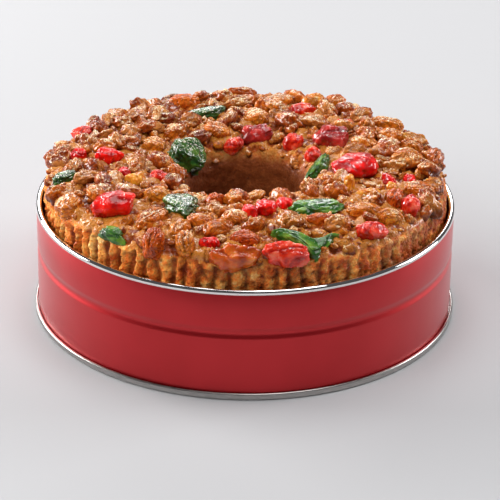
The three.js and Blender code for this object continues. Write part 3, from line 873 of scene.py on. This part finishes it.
def dressTopping(nodeName, seed):
    kind = nodeName.split("_")[0]
    spec = toppings[kind]
    obj, seat, unit = copyOfNode(nodeName, nodeName + "_glazed")
    if nodeName == pooledSlab:
        unit, groove = fruitSkin(unit, seat["half"], seed, fruitForms["pooled"])
    elif kind == "pecan":
        unit, groove = pecanSkin(unit, seed)
        paintPoints(obj, "tone", np.full(len(unit), between(0.3, 1, seed, 21)))
        paintPoints(obj, "broken", np.zeros(len(unit)))
    elif kind == "green":
        unit, groove = leafSkin(unit, seed)
    else:
        form = fruitForms["whole" if nodeName.endswith("large") else "piece"]
        unit, groove = fruitSkin(unit, seat["half"], seed, form)
    if nodeName == bentLeaf:
        unit = hangOver(unit, seat)
    paintPoints(obj, "groove", groove)
    placeUnit(obj, seat, unit, spec["sink"])
    finishPiece(obj, spec["slot"], [nodeName], finishes[finishOf.get(nodeName, spec["finish"])])


toppingNodes = sorted(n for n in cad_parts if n.split("_")[0] in toppings)
for number, nodeName in enumerate(toppingNodes):
    dressTopping(nodeName, number + 1)
print("toppings with their own node made:", len(toppingNodes))


# Loose pecan pieces: a few are modelled, then copied over the crown

chunkForm = dict(
    swell=1.04, lumps=0.34, wrinkle=0.08, grain=0.03, cuts=2, cutAt=0.45, cutAway=0.65, pale=0.7,
)


def modelPiece(kind, level, seed):
    deselectAll()
    bpy.ops.mesh.primitive_ico_sphere_add(subdivisions=level, radius=1, location=(0, 0, 0))
    obj = bpy.context.active_object
    unit = pointsOf(obj)
    faces = np.empty(len(obj.data.polygons) * 3, np.int32)
    obj.data.polygons.foreach_get("vertices", faces)
    flat = np.zeros(len(unit))
    if kind == "half":
        unit, groove = pecanSkin(unit, seed)
    else:
        unit, flat = cutFlat(unit, seed, chunkForm["cuts"], chunkForm["cutAt"], chunkForm["cutAway"])
        lumpy = softNoise(unit, 0.7, seed, 3)
        wrinkle = ridged(unit, 0.42, seed + 2)
        fine = softNoise(unit, 0.2, seed + 4, 2)
        swell = chunkForm["swell"] + chunkForm["lumps"] * lumpy - chunkForm["wrinkle"] * wrinkle
        unit = unit * (swell + chunkForm["grain"] * fine)[:, None]
        # painted shade: the mask darkens the wrinkles and hollows
        groove = np.clip(0.75 * wrinkle - 0.6 * lumpy - 0.1, 0, 1)
    bpy.data.objects.remove(obj)
    return dict(points=unit, faces=faces.reshape(-1, 3), groove=groove, broken=flat * chunkForm["pale"])


halves = [modelPiece("half", 4, 11 + i) for i in range(4)]
chunks = [modelPiece("chunk", 4, 31 + i) for i in range(6)]
smallChunks = [modelPiece("chunk", 3, 51 + i) for i in range(6)]
bits = [modelPiece("chunk", 2, 71 + i) for i in range(5)]
print("pecan pieces modelled")


def treeOfNodes(names):
    points, faces = [], []
    for name in names:
        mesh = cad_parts[name].data
        start = len(points)
        points += [v.co.copy() for v in mesh.vertices]
        faces += [[start + v for v in p.vertices] for p in mesh.polygons]
    return BVHTree.FromPolygons(points, faces)


toppingTree = treeOfNodes(toppingNodes)
solidCake = treeOfNodes(["ring_cake"])

scatter = dict(
    goldenAngle=math.pi * (3 - math.sqrt(5)), barePatch=(-66, -56, 15), lumpRise=1.2,
    lowBack=(20, 35, 66), backLeftFade=(-70, 0),
)
drawNames = ("length", "half", "width", "height", "lift", "heading", "tiltX", "tiltY", "tone")
# missing and bare are the shares of the tries that are left out, anywhere and in the bare patch, share is
# how much of a nut's length has to be free, and draws are the numbers of the draws that drawNames lists
layers = dict(
    lumps=dict(      # over the solid cake's fused lumps
        tries=172, inner=31, outer=88, turn=0.0, missing=0, bare=0, above=2, length=(8, 12.5), share=0.4,
        shrinks=(1, 0.8, 0.6), grown=1.25, halves=0.35, width=(0.55, 0.75), height=(6.5, 10),
        lift=(1.6, 3.0), tilt=(0.4, 0.35), browner=0.36, draws=(4, 12, 5, 6, 10, 9, 7, 8, 14)),
    heap=dict(      # a second layer, where the nuts are heaped
        tries=120, inner=34, outer=85, turn=1.3, missing=0.3, bare=1, above=4, length=(9, 16), share=0.5,
        shrinks=(1, 0.8), grown=1, halves=0.5, width=(0.5, 0.75), height=(5.5, 8.5), lift=(3.4, 5.0),
        tilt=(0.5, 0.3), browner=0.36, draws=(81, 82, 83, 84, 89, 85, 86, 87, 88)),
    pieces=dict(
        tries=340, inner=29.5, outer=90, turn=0.7, missing=0, bare=1, above=1.5, length=(6, 10.5),
        share=0.35, shrinks=(1, 0.75, 0.5), grown=1, halves=0, width=(0.5, 0.8), height=(4, 6.5),
        lift=(0.4, 1.6), tilt=(0.6, 0.4), browner=0.36, draws=(90, 0, 91, 92, 93, 94, 95, 96, 97)),
    bits=dict(      # as tall as a share of their length
        tries=800, inner=28.5, outer=90.5, turn=2.1, missing=0, bare=0.8, above=1, length=(2.2, 4.6),
        share=0.3, shrinks=(1, 0.7), grown=1, halves=0, width=(0.5, 0.9), height=(0.5, 0.9),
        lift=(0.3, 1.4), tilt=(0.8, 0.8), browner=0, draws=(101, 0, 102, 103, 104, 105, 106, 107, 108)),
)


def clearance(point):
    near = toppingTree.find_nearest(point)
    return near[3] / mm if near[0] else 99.0


def inBarePatch(x, y):
    cx, cy, reach = scatter["barePatch"]
    return math.hypot(x - cx, y - cy) < reach


def sunflower(k, layer):      # the tries are spread evenly over a ring
    share = (k + 0.5) / layer["tries"]
    radius = math.sqrt(layer["inner"] ** 2 + (layer["outer"] ** 2 - layer["inner"] ** 2) * share)
    return radius, k * scatter["goldenAngle"] + layer["turn"]


def seatMatrix(radius, angle, lift, size, heading, tiltX, tiltY):
    up = crownNormal(radius, angle)
    centre = Vector((radius * math.cos(angle), radius * math.sin(angle), crownHeight(radius))) + up * lift
    turn = up.to_track_quat("Z", "Y").to_matrix() @ Matrix.Rotation(heading, 3, "Z")
    turn = turn @ Matrix.Rotation(tiltX, 3, "X") @ Matrix.Rotation(tiltY, 3, "Y")
    scale = Matrix.Diagonal([s / 2 for s in size])
    return np.array(turn @ scale) * mm, np.array(centre) * mm


def roomFor(x, y, z, length, layer):      # the length that clears the named fruit and nuts, if one does
    free = clearance(Vector((x, y, z)) * mm)
    for shrink in layer["shrinks"]:
        if free > layer["share"] * length * shrink:
            return length * shrink
    return None


def hidesFruit(x, y, length):      # a tall piece just in front of named fruit would cover it
    behind = Vector((x, y + 0.5 * length + 4, crownHeight(math.hypot(x, y)) + 2)) * mm
    return clearance(behind) < 3.2


def leftOut(name, k, x, y, radius):      # where a layer has no nut
    layer = layers[name]
    if draw(k, 80) < layer["missing"] or (inBarePatch(x, y) and draw(k, 100) < layer["bare"]):
        return True
    if name == "lumps":
        hit = solidCake.ray_cast(Vector((x * mm, y * mm, 0.1)), Vector((0, 0, -1)))[0]
        return hit is None or hit.z / mm < crownHeight(radius) + scatter["lumpRise"]
    right, back, outside = scatter["lowBack"]      # the crown's outline is low there
    return name == "heap" and x > right and y > back and radius > outside


def scatterLayer(name, models):
    layer = layers[name]
    number = dict(zip(drawNames, layer["draws"]))
    halfCopies, otherCopies = [], []
    for k in range(layer["tries"]):
        radius, angle = sunflower(k, layer)
        x, y = radius * math.cos(angle), radius * math.sin(angle)
        if leftOut(name, k, x, y, radius):
            continue
        wanted = between(*layer["length"], k, number["length"])
        length = roomFor(x, y, crownHeight(radius) + layer["above"], wanted, layer)
        if length is None or (name == "heap" and hidesFruit(x, y, length)):
            continue
        length *= layer["grown"]
        height = between(*layer["height"], k, number["height"]) * (length if name == "bits" else 1)
        size = (length, length * between(*layer["width"], k, number["width"]), height)
        lift = between(*layer["lift"], k, number["lift"])
        mostX, mostY = layer["tilt"]
        tiltX = between(-mostX, mostX, k, number["tiltX"])
        tiltY = between(-mostY, mostY, k, number["tiltY"])
        heading = 2 * math.pi * draw(k, number["heading"])
        matrix = seatMatrix(radius, angle, lift, size, heading, tiltX, tiltY)
        backLeftShare = 1 - smoothStep(*scatter["backLeftFade"], 0.8 * x - 0.5 * y)      # browner at the back left
        tone = between(0.2, 1, k, number["tone"]) - layer["browner"] * backLeftShare
        if draw(k, number["half"]) < layer["halves"]:
            halfCopies.append((halves[k % len(halves)], matrix, tone))
        else:
            otherCopies.append((models[k % len(models)], matrix, tone))
    return halfCopies, otherCopies


def joinCopies(name, copies):
    points, faces, tone, groove, broken = [], [], [], [], []
    start = 0
    for model, (matrix, centre), shade in copies:
        placed = model["points"] @ matrix.T
        foot = smoothStep(0.45, -0.5, placed[:, 2] / placed[:, 2].max())      # painted contact shade: darker round each piece's foot, where it meets the cake
        points.append(placed + centre)
        faces.append(model["faces"] + start)
        tone.append(np.full(len(placed), shade))
        groove.append(np.maximum(model["groove"], foot))
        broken.append(model["broken"])
        start += len(placed)
    mesh = bpy.data.meshes.new(name)
    mesh.from_pydata(np.concatenate(points).tolist(), [], np.concatenate(faces).tolist())
    mesh.shade_smooth()
    obj = bpy.data.objects.new(name, mesh)
    bpy.context.scene.collection.objects.link(obj)
    for painted, values in (("tone", tone), ("groove", groove), ("broken", broken)):
        paintPoints(obj, painted, np.concatenate(values))
    finishPiece(obj, "pecan", ["ring_cake"], finishes["glazedPecan"])
    print(name, "copies:", len(copies), "triangles:", len(mesh.polygons))


lumpHalves, lumpChunks = scatterLayer("lumps", chunks)
heapHalves, heapChunks = scatterLayer("heap", chunks)
joinCopies("pecanHalves", lumpHalves + heapHalves)
joinCopies("pecanChunks", lumpChunks + heapChunks)
joinCopies("pecanPieces", scatterLayer("pieces", smallChunks)[1])
joinCopies("pecanBits", scatterLayer("bits", bits)[1])
print("pecans laid")
